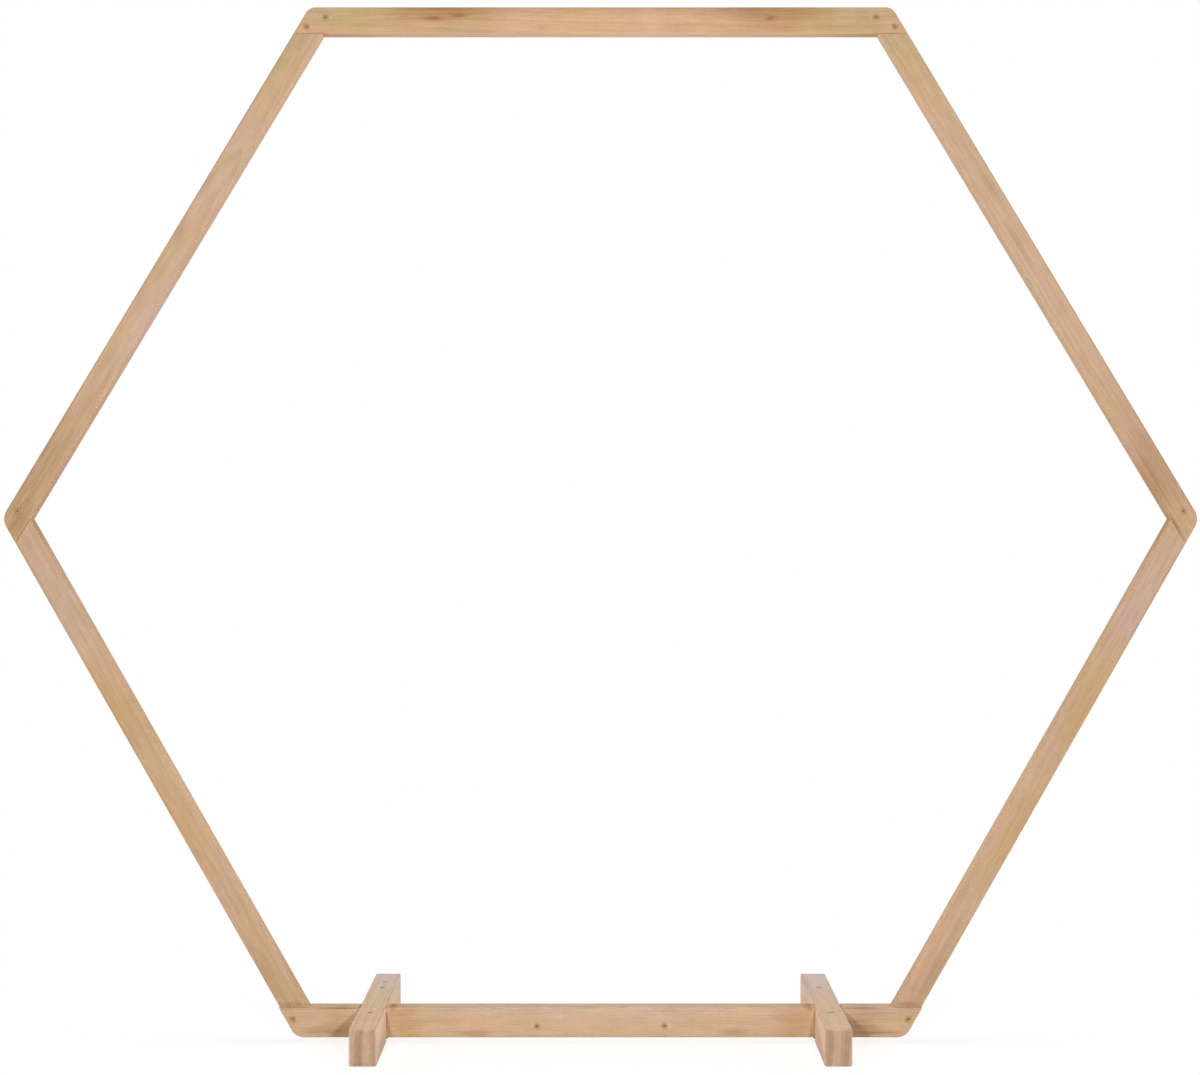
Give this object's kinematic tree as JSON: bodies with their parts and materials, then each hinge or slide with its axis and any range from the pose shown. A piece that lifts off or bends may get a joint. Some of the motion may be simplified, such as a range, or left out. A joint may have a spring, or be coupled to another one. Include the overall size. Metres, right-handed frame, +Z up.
{
  "type": "hexagonal wedding arch",
  "caption": "Free-standing hexagonal wedding arch: half-lapped pine rails in one plane, standing on foot blocks cross-halved over the bottom rail.",
  "frame": {"origin": "on the ground, midway between the feet and midway along them", "axes": "+X to the right seen from the front, +Y from the front to the back, +Z up; the hexagon's plane is parallel to XZ"},
  "size_m": [2.1904, 0.42, 1.9015],
  "materials": {
    "rail_pine": "planed and sanded, unfinished",
    "foot_pine": "planed and sanded, unfinished, sawn end grain",
    "screw_steel": "dulled countersunk screw heads"
  },
  "bodies": {
    "root": {"top_rail": "rail_pine", "upper_left_rail": "rail_pine", "upper_right_rail": "rail_pine", "lower_left_rail": "rail_pine", "lower_right_rail": "rail_pine", "bottom_rail": "rail_pine", "left_foot": "foot_pine", "right_foot": "foot_pine"}
  },
  "joints": []
}
